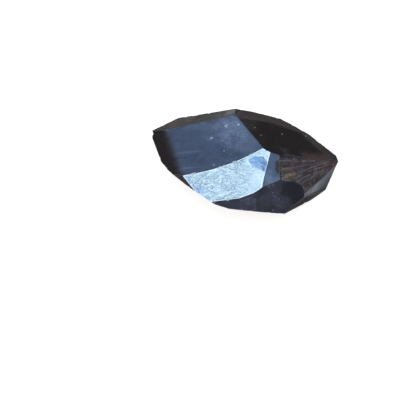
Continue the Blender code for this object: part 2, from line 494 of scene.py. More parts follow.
def ramp(tree, value, low, high, start=0.0, end=1.0, smooth=True):
    """Stretch the range low..high to start..end and hold it there."""
    return wire(tree, "ShaderNodeMapRange",
                {"Value": value, "From Min": low, "From Max": high,
                 "To Min": start, "To Max": end},
                interpolation_type="SMOOTHSTEP" if smooth else "LINEAR")


def stored(tree, name, kind="FLOAT"):
    """Read an attribute of the mesh, in either sort of tree."""
    if tree.bl_idname == "GeometryNodeTree":
        return wire(tree, "GeometryNodeInputNamedAttribute", {"Name": name}, out="Attribute",
                    data_type=kind)
    return wire(tree, "ShaderNodeAttribute", out="Fac", attribute_name=name)


print("helpers for numbers are ready")

# %% [markdown]
# Patterns are made from places: noise reads a place and gives a cloud. Stretch the place along a
# bearing, and the cloud becomes a grain. Push the place about with another noise, and straight
# lines become crooked ones.

# %% Helpers for places
def move(tree, operation, where, other, out=None):
    """Arithmetic on places and directions."""
    return wire(tree, "ShaderNodeVectorMath", {0: where, 1: other}, out=out, operation=operation)


def scaled(tree, where, factor):
    return wire(tree, "ShaderNodeVectorMath", {0: where, "Scale": factor}, operation="SCALE")


def dot(tree, where, direction):
    return move(tree, "DOT_PRODUCT", where, direction, out="Value")


def part(tree, where, axis):
    return wire(tree, "ShaderNodeSeparateXYZ", {0: where}, out=axis)


def noise(tree, where, scale, detail=2.0, rough=0.5, warp=0.0, out="Fac"):
    return wire(tree, "ShaderNodeTexNoise",
                {"Vector": where, "Scale": scale, "Detail": detail, "Roughness": rough,
                 "Distortion": warp}, out=out)


def cloudy(tree, where, size, **settings):
    """Noise whose clouds have a given size, in mm."""
    return noise(tree, where, sums(tree, "DIVIDE", 1.0, size), **settings)


def stretched(tree, where, bearing, size):
    """Places whose X runs along a bearing, counted in units of the given size."""
    turned = wire(tree, "ShaderNodeVectorRotate",
                  {"Vector": where, "Angle": math.radians(-bearing)}, rotation_type="Z_AXIS")
    return move(tree, "MULTIPLY", turned, tuple(1.0 / x for x in size))


def grain(tree, where, bearing, size, **settings):
    """Noise drawn out along a bearing."""
    return noise(tree, stretched(tree, where, bearing, size), 1.0, **settings)


def bent(tree, where, stir, reach):
    """Places pushed about by the colours of a noise, half the reach each way."""
    stir = move(tree, "SUBTRACT", stir, (0.5, 0.5, 0.5))
    return move(tree, "ADD", where, scaled(tree, stir, reach))


print("helpers for places are ready")

# %% [markdown]
# ## Relief from Geometry Nodes
# Each finish gets a tree of its own, with its sizes as named inputs. A tree works out how deep
# every point should lie, from 0 to 1, and moves the point down its normal by that share of the
# depth. All of them share one frame: places in millimetres at the start, and at the end the tree
# makes everything real and gives its own tiles their material.

# %% A tree that presses relief into one finish
def relief_tree(finish_name, sizes, depth_of):
    tree = bpy.data.node_groups.new(finish_name + " relief", "GeometryNodeTree")
    numbers = [(label, "Float") for label in ["Depth", "Seed", *sizes]]
    for label, kind in [("Geometry", "Geometry"), *numbers, ("Material", "Material")]:
        tree.interface.new_socket(label, in_out="INPUT", socket_type="NodeSocket" + kind)
    tree.interface.new_socket("Geometry", in_out="OUTPUT", socket_type="NodeSocketGeometry")
    given = tree.nodes.new("NodeGroupInput").outputs
    where = scaled(tree, wire(tree, "GeometryNodeInputPosition"), 1.0 / MM)
    seeded = move(tree, "ADD", where, wire(tree, "ShaderNodeCombineXYZ", {"Z": given["Seed"]}))
    share = depth_of(tree, where, seeded, given)
    down = times(tree, share, stored(tree, finish_name), given["Depth"], -MM)
    push = scaled(tree, wire(tree, "GeometryNodeInputNormal"), down)
    pressed = wire(tree, "GeometryNodeSetPosition",
                   {"Geometry": given["Geometry"], "Offset": push})
    real = wire(tree, "GeometryNodeRealizeInstances", {"Geometry": pressed})
    own = wire(tree, "FunctionNodeCompare",
               {2: stored(tree, "finish", "INT"), 3: list(FINISHES).index(finish_name)},
               data_type="INT", operation="EQUAL")
    coated = wire(tree, "GeometryNodeSetMaterial",
                  {"Geometry": real, "Selection": own, "Material": given["Material"]})
    wire(tree, "NodeGroupOutput", {0: coated})
    print(tree.name, "nodes:", len(tree.nodes))
    return tree


def press(piece, tree, values):
    """Put a tree on a piece, and set its inputs by their identifiers."""
    modifier = piece.modifiers.new(tree.name, "NODES")
    modifier.node_group = tree
    for socket in tree.interface.items_tree:
        if socket.item_type == "SOCKET" and socket.in_out == "INPUT" and socket.name in values:
            modifier[socket.identifier] = values[socket.name]


# %% [markdown]
# ### The fibrous break
# The crystal broke along bundles of fibres that all grew from one point, so the ribs spread like
# a fan. Seen from above, the angle around that point tells the ribs apart, and the distance from
# it runs along them. Noise that changes fast with the angle and slowly with the distance gives
# long ribs of uneven width. A second, coarser noise is cut into steps: splinters that broke off
# early.

# %% Ribs that fan out from the point
POINT = (23.03, 4.72)      # where the fibres meet, mm
RIB_WIDTH = 2.6            # degrees
BREAK_SEED = 3.0


def fan(tree, where):
    """Angle around the point in degrees, and distance from it in mm."""
    away = move(tree, "SUBTRACT", where, (*POINT, 0.0))
    x, y = part(tree, away, "X"), part(tree, away, "Y")
    turn = sums(tree, "DEGREES", sums(tree, "ARCTAN2", times(tree, y, -1.0), times(tree, x, -1.0)))
    return turn, sums(tree, "SQRT", plus(tree, times(tree, x, x), times(tree, y, y)))


def ribs(tree, turn, far, width):
    """Three heights from 0 to 1: of the ribs, of the fine fibres and of the broken-off steps."""
    def along_ribs(across, length):      # degrees, mm
        spot = wire(tree, "ShaderNodeCombineXYZ",
                    {"X": sums(tree, "DIVIDE", turn, across),
                     "Y": sums(tree, "DIVIDE", far, length), "Z": BREAK_SEED})
        return noise(tree, spot, 1.0, detail=1.0)

    return (ramp(tree, along_ribs(width, 12.0), 0.38, 0.62),
            ramp(tree, along_ribs(0.9, 9.0), 0.3, 0.7),
            ramp(tree, along_ribs(3.5, 2.2), 0.50, 0.56))


def rib_depth(tree, where, seeded, given):
    turn, far = fan(tree, where)
    wide, fine, steps = ribs(tree, turn, far, given["Rib width"])
    depth = plus(tree, times(tree, wide, -0.6), times(tree, fine, -0.15), times(tree, steps, 0.25),
                 0.75)
    return times(tree, depth, ramp(tree, far, 0.5, 9.0, smooth=False))


break_relief = relief_tree("fibrous", ["Rib width"], rib_depth)

# %% [markdown]
# ### The terrace
# At its inner end the bright face has a small flat terrace, a last layer of growth that didn't
# cover the whole face. Its corners are written down, and each side is a line: the distance inside
# all of the lines tells how far a point lies within the terrace. Noise bends the place first, so
# that the rim is ragged like a torn edge. One mask like this serves both the relief and the
# colour.

# %% Inside the terrace
TERRACE = ((1.70, -4.60), (2.84, -3.32), (5.40, -3.00),      # x and y of its corners, mm
           (6.90, -4.50), (6.60, -6.80), (3.25, -5.85))
FRONT, BEHIND = (4, 5), (0, 1, 2, 3)      # the sides where it stands up, and where it runs out
MOST = 10.0                               # more than any distance inside it, mm


def terrace(tree, where, sides=FRONT + BEHIND):
    """How far inside some sides of the terrace a point lies, in mm; negative outside."""
    place = bent(tree, where, noise(tree, where, 1.6, detail=3.0, out="Color"), 0.6)
    inner = MOST
    for number in sorted(sides):
        corner = Vector(TERRACE[number])
        side = Vector(TERRACE[(number + 1) % len(TERRACE)]) - corner
        inward = Vector((side.y, -side.x)).normalized()
        inner = sums(tree, "MINIMUM", inner,
                     sums(tree, "SUBTRACT", dot(tree, place, (*inward, 0.0)), inward.dot(corner)))
    return inner


print("sides of the terrace:", len(TERRACE))

# %% [markdown]
# ### The crinkled face
# The bright face looks smooth from afar and like crumpled foil from near by. Cells drawn out
# along the crystal, with a fine groove where two cells meet, give the pattern, and thin creases
# join them. The places are bent by noise first, so that no groove runs straight. A coarse noise
# chooses between two directions, because the wrinkles lie flatter on one part of the face and
# steeper on another.

# %% Cells with grooves between them
CELL = 1.05           # mean width of a cell across its length, mm
BEND = 1.3            # how far the grooves are bent, mm
CRINKLE_SEED = 5.0
CREASE = 0.04         # how wide a crease is, as a share of the noise it follows


def crinkles(tree, where, cell, bend):
    """How near a point is to a groove, 0 to 1, and a ripple over the cells."""
    offset = move(tree, "ADD", where, (0.0, 0.0, CRINKLE_SEED))
    crooked = bent(tree, offset, noise(tree, offset, 0.7, detail=3.0, out="Color"), bend)
    lying = stretched(tree, crooked, 12.0, (4.2, 0.8, 0.8))
    rising = stretched(tree, crooked, 38.0, (3.4, 0.8, 0.8))
    which = ramp(tree, noise(tree, offset, 0.22, detail=1.0), 0.46, 0.54)

    def creased(place):
        middle = sums(tree, "SUBTRACT", noise(tree, place, 1.0, detail=1.0), 0.5)
        return ramp(tree, sums(tree, "ABSOLUTE", middle), 0.0, CREASE, 1.0, 0.0)

    cells = wire(tree, "ShaderNodeTexVoronoi",
                 {"Vector": lying, "Scale": sums(tree, "DIVIDE", 1.0, cell)},
                 feature="DISTANCE_TO_EDGE", out="Distance")
    groove = sums(tree, "MAXIMUM", ramp(tree, cells, 0.0, 0.09, 0.75, 0.0),
                  mixed(tree, which, creased(lying), creased(rising)))
    return groove, mixed(tree, which, noise(tree, lying, 1.1), noise(tree, rising, 1.1))


def calming(tree, where, least):
    """The face is smoother towards its inner end."""
    return ramp(tree, part(tree, where, "X"), 0.5, 5.0, 1.0, least)


def crinkle_depth(tree, where, seeded, given):
    groove, ripple = crinkles(tree, where, given["Cell"], given["Bend"])
    depth = plus(tree, times(tree, groove, 0.25), times(tree, ripple, 0.55))
    lift = times(tree, ramp(tree, terrace(tree, where, FRONT), -0.20, 0.10),
                 ramp(tree, terrace(tree, where, BEHIND), 0.0, 2.0), 0.45)
    return sums(tree, "SUBTRACT", times(tree, depth, calming(tree, where, 0.4)), lift)


crinkle_relief = relief_tree("crinkled", ["Cell", "Bend"], crinkle_depth)

# %% [markdown]
# ### Polished and weathered faces
# No natural face is a perfect plane. The polished ones swell and dip by a few hundredths of a
# millimetre, which a mirror-like surface shows as drifting patches of light. The weathered ones,
# around the back and below, have deeper dips and are pitted. One tree can do both: only its sizes
# differ.

# %% Swells, pits and growth steps
def worn_depth(tree, where, seeded, given):
    swell = cloudy(tree, seeded, given["Swell"])
    hole = wire(tree, "ShaderNodeTexVoronoi", {"Vector": seeded, "Scale": 0.7}, out="Distance")
    chosen = ramp(tree, noise(tree, seeded, 0.35, detail=0.0), 0.48, 0.58)
    pits = times(tree, ramp(tree, hole, 0.15, 0.42, 1.0, 0.0), chosen)
    steps = ramp(tree, grain(tree, seeded, 0.0, (9.0, 9.0, 0.9)), 0.47, 0.53)
    return plus(tree, times(tree, swell, given["Dips"]), times(tree, pits, given["Pits"]),
                times(tree, steps, given["Steps"]))


WORN_SIZES = ["Swell", "Dips", "Pits", "Steps"]
polished_relief = relief_tree("polished", WORN_SIZES, worn_depth)
weathered_relief = relief_tree("weathered", WORN_SIZES, worn_depth)

# %% [markdown]
# ### Chips
# Knocks have taken small chips out of the outer ridges, more of them at the blunt end. A chip is a
# scoop where a noise passes a limit. The inner ridges on top are clean, and so have hardly any
# film and painted shade: that value tells the two apart.

# %% Chips along the ridges
BLUNT_END = (-19.0, -13.0)    # x at the end, and where the rest begins, mm


def chip_depth(tree, where, seeded, given):
    nibble = cloudy(tree, seeded, given["Nibble"])
    chip = ramp(tree, noise(tree, seeded, 0.55), 0.54, 0.66)
    blunt = ramp(tree, part(tree, where, "X"), *BLUNT_END, 2.0, 1.0)
    outer = ramp(tree, stored(tree, "film_and_shade"), 0.20, 0.40)
    chip = times(tree, chip, times(tree, blunt, outer), 0.75)
    return plus(tree, times(tree, nibble, 0.25), chip)


ridge_relief = relief_tree("ridge", ["Nibble"], chip_depth)

# %% [markdown]
# ## Materials
# All the finishes are the same ore, so they share their effects: cloudy mottling, scratches,
# specks, veins, stains and wear. Each effect is a node group, built once and then placed in every
# material with its own values. Places are the object's own, in millimetres, so every size below
# can be checked with a ruler. An effect gives only a mask, 0 where it is absent and 1 where it is
# strongest.

# %% A node group for an effect
EFFECTS = {}


def effect(name, build, numbers=(), places=()):
    group = bpy.data.node_groups.new(name, "ShaderNodeTree")
    for labels, kind in ((["Vector", *places], "Vector"), (numbers, "Float")):
        for label in labels:
            group.interface.new_socket(label, in_out="INPUT", socket_type="NodeSocket" + kind)
    group.interface.new_socket("Mask", in_out="OUTPUT", socket_type="NodeSocketFloat")
    given = group.nodes.new("NodeGroupInput").outputs
    where = given["Vector"]
    if "Seed" in numbers:
        offset = wire(group, "ShaderNodeCombineXYZ", {"X": given["Seed"], "Z": given["Seed"]})
        where = move(group, "ADD", where, offset)
    wire(group, "NodeGroupOutput", {"Mask": build(group, where, given)})
    EFFECTS[name] = group
    print("%-9s %2d nodes" % (name, len(group.nodes)))


print("effects so far:", len(EFFECTS))

# %% [markdown]
# Three effects cover a whole face. Mottling is plain cloudy noise. A scratch is noise stretched
# until only a hair of it is left, in three directions. Specks are grains of crushed ore: Voronoi
# cells, of which some hold a grain in the middle.

# %% Clouds, scratches and specks
SPECK_EDGE = 60.0     # how fast a speck ends, per mm


def mottling(tree, where, given):
    cloud = cloudy(tree, where, given["Size"], detail=5.0, rough=0.62, warp=0.6)
    return ramp(tree, cloud, 0.32, 0.68)


def scratching(tree, where, given):
    lines = [ramp(tree, grain(tree, where, bearing, (3.2, 0.09, 9.0), detail=1.0), 0.66, 0.74)
             for bearing in (12, -47, 71)]
    return sums(tree, "MAXIMUM", sums(tree, "MAXIMUM", lines[0], lines[1]), lines[2])


def specking(tree, where, given):
    cells = wire(tree, "ShaderNodeTexVoronoi",
                 {"Vector": where, "Scale": sums(tree, "DIVIDE", 1.0, given["Spread"])},
                 out="Distance")
    chance = part(tree, cells.node.outputs["Color"], "X")
    size = times(tree, sums(tree, "SUBTRACT", chance, 0.6), given["Size"])
    return sums(tree, "MULTIPLY", sums(tree, "SUBTRACT", size, cells), SPECK_EDGE, clamp=True)


effect("mottling", mottling, ["Size", "Seed"])
effect("scratches", scratching, ["Seed"])
effect("specks", specking, ["Spread", "Size", "Seed"])

# %% [markdown]
# Veins are thin lines that wander and fork. They lie where a cloudy noise passes its middle
# value, like the contour line of a map. A stain is a ball around a centre, and it shows where the
# ball cuts the face. Its place is bent by noise, so that it frays instead of being round.

# %% Veins and stains
def veining(tree, where, given):
    cloud = cloudy(tree, where, given["Size"], warp=1.2)
    off = sums(tree, "ABSOLUTE", sums(tree, "SUBTRACT", cloud, 0.5))
    kept = ramp(tree, noise(tree, where, 0.8), 0.42, 0.58)
    return times(tree, ramp(tree, off, 0.0, given["Width"], 1.0, 0.0), kept)


def staining(tree, where, given):
    scale = sums(tree, "DIVIDE", 1.1, given["Radius"])
    stir = noise(tree, where, scale, detail=5.0, rough=0.6, out="Color")
    place = bent(tree, where, stir, times(tree, given["Radius"], given["Fray"], 3.0))
    gap = move(tree, "DISTANCE", place, given["Centre"], out="Value")
    gap = sums(tree, "DIVIDE", gap, given["Radius"])
    return ramp(tree, gap, sums(tree, "SUBTRACT", 1.0, given["Soft"]), 1.0, 1.0, 0.0)


effect("veins", veining, ["Size", "Width", "Seed"])
effect("stain", staining, ["Radius", "Fray", "Soft"], ["Centre"])

# %% [markdown]
# The last three read what was measured on the mesh: wear follows the ridges and also gives a
# painted rim highlight, the film lies where the faces say so and is painted shade near the ground,
# and splinters of the break reach a little way into the face beside it, painted dark partly as
# shadow along its border.

# %% Wear with painted highlight, film with painted shade, and splinters with painted shadow
SPLINTER_SHADOW_EDGE = 5.0   # how fast a splinter ends, per mm


# A band along the ridges. Where it is used it makes the edges lighter: partly real wear, partly a
# painted rim highlight.
def wear_and_highlight_mask(tree, where, given):
    reach = times(tree, given["Width"], plus(tree, noise(tree, where, 2.2, detail=3.0), 0.4))
    inside_it = sums(tree, "DIVIDE", stored(tree, "inset"), reach)
    return sums(tree, "SUBTRACT", 1.0, inside_it, clamp=True)


# The film, made patchy. On faces near the ground it is also painted shade.
def film_and_shade_mask(tree, where, given):
    patchy = ramp(tree, noise(tree, where, 0.7, detail=4.0, rough=0.6), 0.25, 0.60, 0.55, 1.0)
    return sums(tree, "MULTIPLY", stored(tree, "film_and_shade"), patchy, clamp=True)


# Splinters of the break reaching into the face; where used they are painted dark, partly as shadow
# along the break's border.
def splinters_and_shadow_mask(tree, where, given):
    ragged = ramp(tree, noise(tree, where, 1.1, detail=3.0, rough=0.6), 0.35, 0.65, 0.15, 1.0)
    over = sums(tree, "SUBTRACT", times(tree, given["Width"], ragged), stored(tree, "to_break"))
    return sums(tree, "MULTIPLY", over, SPLINTER_SHADOW_EDGE, clamp=True)


effect("wear_and_highlight", wear_and_highlight_mask, ["Width"])
effect("film_and_shade", film_and_shade_mask)
effect("splinters_and_shadow", splinters_and_shadow_mask, ["Width"])

# %% [markdown]
# A material is built up like coats of paint. It starts as bare ore, and each layer changes the
# colour, and sometimes the metal or the roughness, where all its masks meet. Heights are added up
# too, and go into one bump at the end, for what is too fine for the mesh.

# %% Coats and layers
class Coat:
    """A material in the making."""

    def __init__(self, name, colour, metal, rough):
        self.material = bpy.data.materials.new(name)
        self.material.use_nodes = True
        self.tree = self.material.node_tree
        own = wire(self.tree, "ShaderNodeTexCoord", out="Object")
        self.where = scaled(self.tree, own, 1.0 / MM)
        self.colour, self.metal, self.rough, self.height = (*colour, 1.0), metal, rough, 0.0

    def mask(self, name, **values):
        return wire(self.tree, "ShaderNodeGroup", {"Vector": self.where, **values},
                    node_tree=EFFECTS[name])

    def mottling(self, size, seed):
        return self.mask("mottling", Size=size, Seed=seed)

    def veins(self, size, width, seed):
        return self.mask("veins", Size=size, Width=width, Seed=seed)

    def specks(self, spread, size, seed):
        return self.mask("specks", Spread=spread, Size=size, Seed=seed)

    def stain(self, centre, radius, fray, soft):
        return self.mask("stain", Centre=centre, Radius=radius, Fray=fray, Soft=soft)

    def ramp(self, value, *ends):
        return ramp(self.tree, value, *ends)

    def layer(self, amount, colour, *masks, metal=None, rough=None):
        share = times(self.tree, *masks, amount)
        self.colour = mixed(self.tree, share, self.colour, (*colour, 1.0), "RGBA")
        if metal is not None:
            self.metal = mixed(self.tree, share, self.metal, metal)
        if rough is not None:
            self.rough = mixed(self.tree, share, self.rough, rough)

    def clouds(self, patches, colour, rough=None):
        """Soft patches, each with its centre, its radius in mm and its amount."""
        for centre, radius, amount in patches:
            self.layer(amount, colour, self.stain(centre, radius, 0.7, 0.8), rough=rough)

    def raise_by(self, mask, amount):
        self.height = plus(self.tree, self.height, times(self.tree, mask, amount))

    def finish(self, scale, amount, **settings):
        """Add the finest unevenness, and join everything to the shader."""
        self.raise_by(noise(self.tree, self.where, scale, **settings), amount)
        bump = wire(self.tree, "ShaderNodeBump",
                    {"Height": self.height, "Distance": MM, "Strength": 1.0})
        join(self.tree, self.tree.nodes["Principled BSDF"],
             {"Base Color": self.colour, "Metallic": self.metal, "Roughness": self.rough,
              "Normal": bump})
        print(self.material.name, "nodes:", len(self.tree.nodes))


DUST = (0.62, 0.66, 0.70)         # crushed ore
# The colour under the film; on faces near the ground it is also painted shade.
FILMED_AND_SHADED = (0.066, 0.047, 0.035)    # ore under the brown-grey film
print("effects to choose from:", sorted(EFFECTS))

# %% [markdown]
# ### The polished faces
# Hematite reflects about a quarter of the light, and like a metal it has no colour underneath.
# The colour of such a face is therefore nearly neutral, and the blue comes from what it reflects.
# The mottling and the clouds make patches that are a little brighter, darker or softer.

# %% Bare and cloudy ore
polished = Coat("polished hematite", (0.24, 0.24, 0.25), 1.0, 0.16)
polished.layer(0.5, (0.20, 0.195, 0.20), polished.mottling(4.5, 2.0), rough=0.22)
BRIGHTER = [((-2.5, 5.8, 13.5), 7.2, 0.95), ((2.2, 1.0, 14.2), 4.6, 0.65),
            ((-10.5, 5.6, 11.7), 4.5, 0.6), ((7.4, -7.8, 12.4), 2.6, 0.9),
            ((6.6, -12.4, 8.7), 2.6, 0.5), ((2.6, -12.8, 10.6), 1.8, 0.2),
            ((18.3, -3.3, 6.4), 2.6, 0.7)]
DARKER = [((-5.0, -1.4, 13.1), 3.2, 0.7), ((-2.6, 1.4, 13.8), 2.4, 0.4),
          ((-11.0, -5.0, 11.8), 4.8, 0.8), ((-7.5, -6.0, 12.3), 4.6, 0.35),
          ((-0.9, -3.2, 13.9), 2.0, 0.5)]
BRIGHTEST = [((-1.5, 6.4, 13.6), 4.6, 0.45), ((10.0, -10.0, 8.8), 5.5, 0.5)]
polished.clouds(BRIGHTER, (0.44, 0.45, 0.46), rough=0.26)
polished.clouds(DARKER, (0.14, 0.14, 0.155))
polished.clouds(BRIGHTEST, (0.52, 0.53, 0.55), rough=0.26)
polished.layer(0.35, (0.36, 0.365, 0.375), polished.mottling(1.3, 31.0))
polished.layer(0.35, (0.17, 0.17, 0.18), polished.mottling(2.0, 37.0))
polished.layer(0.25, (0.30, 0.30, 0.32), polished.mottling(0.6, 38.0))
print("patches:", len(BRIGHTER + DARKER + BRIGHTEST))

# %% [markdown]
# The growth of the crystal left faint steps on its broadest face: lines that run along it at its
# left end, and curved ones like ripples at its upper corner, where a pale frost lies as well.
# Near the ridge in the middle, hair cracks wander about, some dark and some pale.

# %% Growth lines, frost and cracks
streak = grain(polished.tree, polished.where, 7.0, (8.0, 0.7, 8.0))
left_end = polished.stain((-13.0, -4.2, 11.3), 6.5, 0.3, 0.7)
for low, high, tint in ((0.60, 0.67, (0.36, 0.36, 0.38)), (0.41, 0.34, (0.13, 0.13, 0.15))):
    polished.layer(0.75, tint, polished.ramp(streak, low, high), left_end)
upper = polished.stain((-3.2, 4.8, 13.4), 7.0, 0.5, 0.5)
polished.layer(0.45, (0.50, 0.52, 0.56), polished.mottling(1.5, 61.0), upper, rough=0.3)
polished.layer(0.6, (0.58, 0.60, 0.63), polished.veins(2.6, 0.03, 41.0), upper, rough=0.3)
polished.layer(0.4, (0.50, 0.54, 0.60), polished.veins(2.3, 0.028, 45.0), upper, metal=0.5,
               rough=0.4)
hurt = polished.stain((-2.8, -2.2, 13.4), 4.2, 0.5, 0.5)
polished.layer(0.75, (0.10, 0.10, 0.115), polished.veins(2.4, 0.035, 43.0), hurt)
polished.layer(0.6, (0.44, 0.45, 0.48), polished.veins(2.8, 0.025, 47.0), hurt)
print("nodes so far:", len(polished.tree.nodes))

# %% [markdown]
# The face below the fold is cleaner in one streak and scuffed in four places, and a dull patch
# lies on it beside the break. The scuffs are pieces of one net of veins, each cut out by a stain.

# %% The lower face
polished.layer(0.6, (0.50, 0.50, 0.54), polished.stain((9.4, -10.8, 8.5), 1.5, 0.8, 0.8))
scuffs = polished.veins(1.8, 0.03, 53.0)
for centre, radius, amount in (((10.4, -10.2, 8.2), 3.0, 0.45), ((7.5, -8.2, 12.2), 2.2, 0.6),
                               ((3.2, -12.8, 10.3), 2.6, 0.4), ((7.4, -12.2, 8.6), 3.0, 0.2)):
    polished.layer(amount, (0.36, 0.38, 0.44), scuffs, polished.stain(centre, radius, 0.4, 0.5),
                   metal=0.4, rough=0.4)
from_break = stored(polished.tree, "to_break")
beside = polished.stain((14.0, -7.3, 9.0), 4.3, 0.3, 0.25)
polished.layer(0.8, (0.145, 0.132, 0.136), beside, polished.ramp(from_break, 3.2, 4.3, 1.0, 0.0),
               rough=0.24)
print("nodes so far:", len(polished.tree.nodes))

# %% [markdown]
# The film comes next, over everything before it, and on the faces near the ground it is also
# painted shade. It is rubbed off the rims of the long face behind, which are painted a warm grey:
# partly rubbed ore, partly a painted warm reflection. The sliver at the right is darker below a
# slanting line.

# %% The film with painted shade, and the rims with painted reflection
# The film, which is also painted shade on the faces near the ground.
polished.layer(1.0, FILMED_AND_SHADED, polished.mask("film_and_shade"), metal=0.94, rough=0.27)
x, z = (part(polished.tree, polished.where, axis) for axis in "XZ")
# The warm grey on the rims behind: partly rubbed ore, partly a painted warm reflection.
rubbed_and_warm_reflection = polished.ramp(stored(polished.tree, "film_and_shade"), 0.22, 0.42, 1.0, 0.0)
rims_behind_painted_reflection = polished.stain((9.0, 10.0, 9.0), 12.0, 0.05, 0.3)
polished.layer(0.75, (0.37, 0.35, 0.29), rims_behind_painted_reflection, rubbed_and_warm_reflection, polished.ramp(z, 11.6, 12.4, 1.0, 0.0),
               rough=0.28)
# The sliver is made darker below a slanting line, near the ground.
slanting = plus(polished.tree, z, times(polished.tree, x, 0.87))
sliver = polished.stain((18.3, -4.0, 4.4), 4.6, 0.1, 0.1)
polished.layer(0.85, (0.06, 0.055, 0.052), sliver, polished.ramp(slanting, 20.25, 20.6, 1.0, 0.0),
               metal=0.8, rough=0.4)
print("nodes so far:", len(polished.tree.nodes))

# %% [markdown]
# Water has carried rust out of the break on to the dark face, and left an olive stain above it.
# Splinters of the break fray its border, painted dark partly as shadow along it, and one notch of
# it reaches into the small face. Last come pale flecks in the film, scratches, specks of crushed
# ore and a touch of wear on the edges, which is also a painted rim highlight.

# %% Rust, splinters with painted shadow, and scratches
seep = polished.ramp(from_break, 1.2, 3.8, 1.0, 0.0)
polished.layer(0.85, (0.20, 0.118, 0.098), seep, polished.stain((17.2, 3.2, 9.1), 5.4, 0.5, 0.5),
               metal=0.8, rough=0.36)
olive = polished.stain((9.7, 0.8, 12.7), 2.0, 0.9, 0.9)
polished.layer(0.5, (0.11, 0.095, 0.06), olive, metal=0.7, rough=0.36)
polished.layer(0.7, (0.30, 0.29, 0.28), polished.specks(0.9, 0.32, 29.0), polished.mask("film_and_shade"),
               rough=0.5)
# Dark splinters along the break's border: partly real splinters, partly painted shadow.
splinters_and_shadow = times(polished.tree, polished.mask("splinters_and_shadow", Width=1.1),
                  polished.stain((14.5, 3.0, 10.0), 8.6, 0.15, 0.2))
polished.layer(0.85, (0.13, 0.115, 0.12), splinters_and_shadow, metal=0.8, rough=0.4)
notch = polished.stain((9.7, -4.1, 13.0), 2.0, 0.3, 0.25)
polished.layer(0.95, (0.05, 0.04, 0.042), notch, metal=0.8, rough=0.4)
scratches = polished.mask("scratches", Seed=4.0)
polished.layer(0.25, (0.36, 0.37, 0.40), scratches)
polished.layer(0.35, DUST, polished.specks(1.5, 0.16, 9.0), metal=0.3, rough=0.5)
# Lighter edges: partly wear, partly a painted rim highlight.
polished.layer(0.3, (0.36, 0.37, 0.38), polished.mask("wear_and_highlight", Width=0.2))
polished.raise_by(scratches, -0.0010)
polished.raise_by(splinters_and_shadow, -0.04)
print("nodes so far:", len(polished.tree.nodes))

# %% [markdown]
# A few larger bruises, where the face was struck, are crushed to a pale powder, and a thin halo of
# it lies around each. They are listed, each with its place and its radius in millimetres. One spot
# is rusty instead.

# %% Bruises
BRUISES = (((-7.62, 1.47, 12.49), 0.46), ((-4.76, 5.08, 13.10), 0.46),
           ((-1.96, 5.42, 13.70), 0.42), ((2.05, 5.95, 12.94), 0.22),
           ((8.49, 7.08, 10.37), 0.27), ((-4.04, -2.27, 13.26), 0.24),
           ((-5.70, -6.34, 12.90), 0.26), ((14.16, 9.77, 7.30), 0.28),
           ((8.70, -9.77, 10.05), 0.18), ((9.23, -12.25, 6.74), 0.20))
HALO = 2.4            # its width, in radii of the bruise
POWDER, RUSTY = (0.60, 0.66, 0.74), (0.30, 0.15, 0.07)
for centre, radius in BRUISES:
    polished.layer(0.3, (0.44, 0.47, 0.53), polished.stain(centre, HALO * radius, 0.8, 0.95),
                   rough=0.3)
    bruise = polished.stain(centre, radius, 1.1, 0.9)
    polished.layer(0.55, POWDER, bruise, metal=0.0, rough=0.6)
    polished.raise_by(bruise, -0.02)
rusty = polished.stain((3.78, 3.72, 13.36), 0.36, 0.7, 0.8)
polished.layer(0.8, RUSTY, rusty, metal=0.0, rough=0.6)
polished.finish(1.6, 0.005, detail=4.0, rough=0.55)

# %% [markdown]
# ### The crinkled face
# The relief does most of the work here. The grooves are painted a little darker and blue-teal:
# painted shade in the creases, tinted as a painted reflection of the blue sky. One corner is
# painted bluer, also a painted reflection of the sky. The terrace is painted blue too, a painted
# reflection, with a pale rim that is a painted highlight along its step. The edges of the face get
# a light rim, partly wear and partly a painted highlight.

# %% Crinkled
crinkled = Coat("crinkled hematite", (0.29, 0.30, 0.305), 1.0, 0.16)
groove = crinkles(crinkled.tree, crinkled.where, CELL, BEND)[0]
crinkled.layer(0.5, (0.23, 0.245, 0.26), crinkled.mottling(1.1, 5.0), rough=0.26)
# Painted shade in the grooves, tinted blue-teal as a painted reflection of the sky.
crinkled.layer(0.75, (0.13, 0.165, 0.20), groove, calming(crinkled.tree, crinkled.where, 0.35))
# Two spots near one corner painted blue: a painted reflection of the sky.
for centre in ((-11.6, -10.4, 10.8), (-8.2, -12.2, 10.8)):
    crinkled.layer(0.8, (0.17, 0.20, 0.29), crinkled.stain(centre, 1.7, 0.5, 0.7))
crinkled.clouds([((5.8, -2.4, 14.2), 2.3, 0.7), ((5.2, -8.0, 12.9), 3.2, 0.35)],
                (0.40, 0.40, 0.38))
inner = terrace(crinkled.tree, crinkled.where)
flat = crinkled.ramp(inner, -0.10, 0.35)
# A pale band just outside the terrace: a painted highlight along its step.
crinkled.layer(0.5, (0.42, 0.42, 0.40), crinkled.ramp(inner, -0.40, -0.08))
# The terrace painted blue: a painted reflection of the sky.
crinkled.layer(0.95, (0.115, 0.165, 0.265), flat, rough=0.18)
crinkled.layer(0.4, (0.24, 0.27, 0.31), flat, crinkled.mottling(0.9, 6.0))
# A light rim along the face's edges: partly wear, partly a painted rim highlight.
crinkled.layer(0.9, (0.46, 0.46, 0.45), crinkled.mask("wear_and_highlight", Width=0.3), rough=0.3)
crinkled.finish(3.0, 0.02, detail=4.0, rough=0.6)

# %% [markdown]
# ### The fibrous break
# Here the ore is split open. Fine iron oxide lies between the fibres, brown to red, and it turns
# the break dull: less metal, more roughness. Ochre has gathered at the broken ends and rust at
# the point, and the lip at the broken ends catches the light.

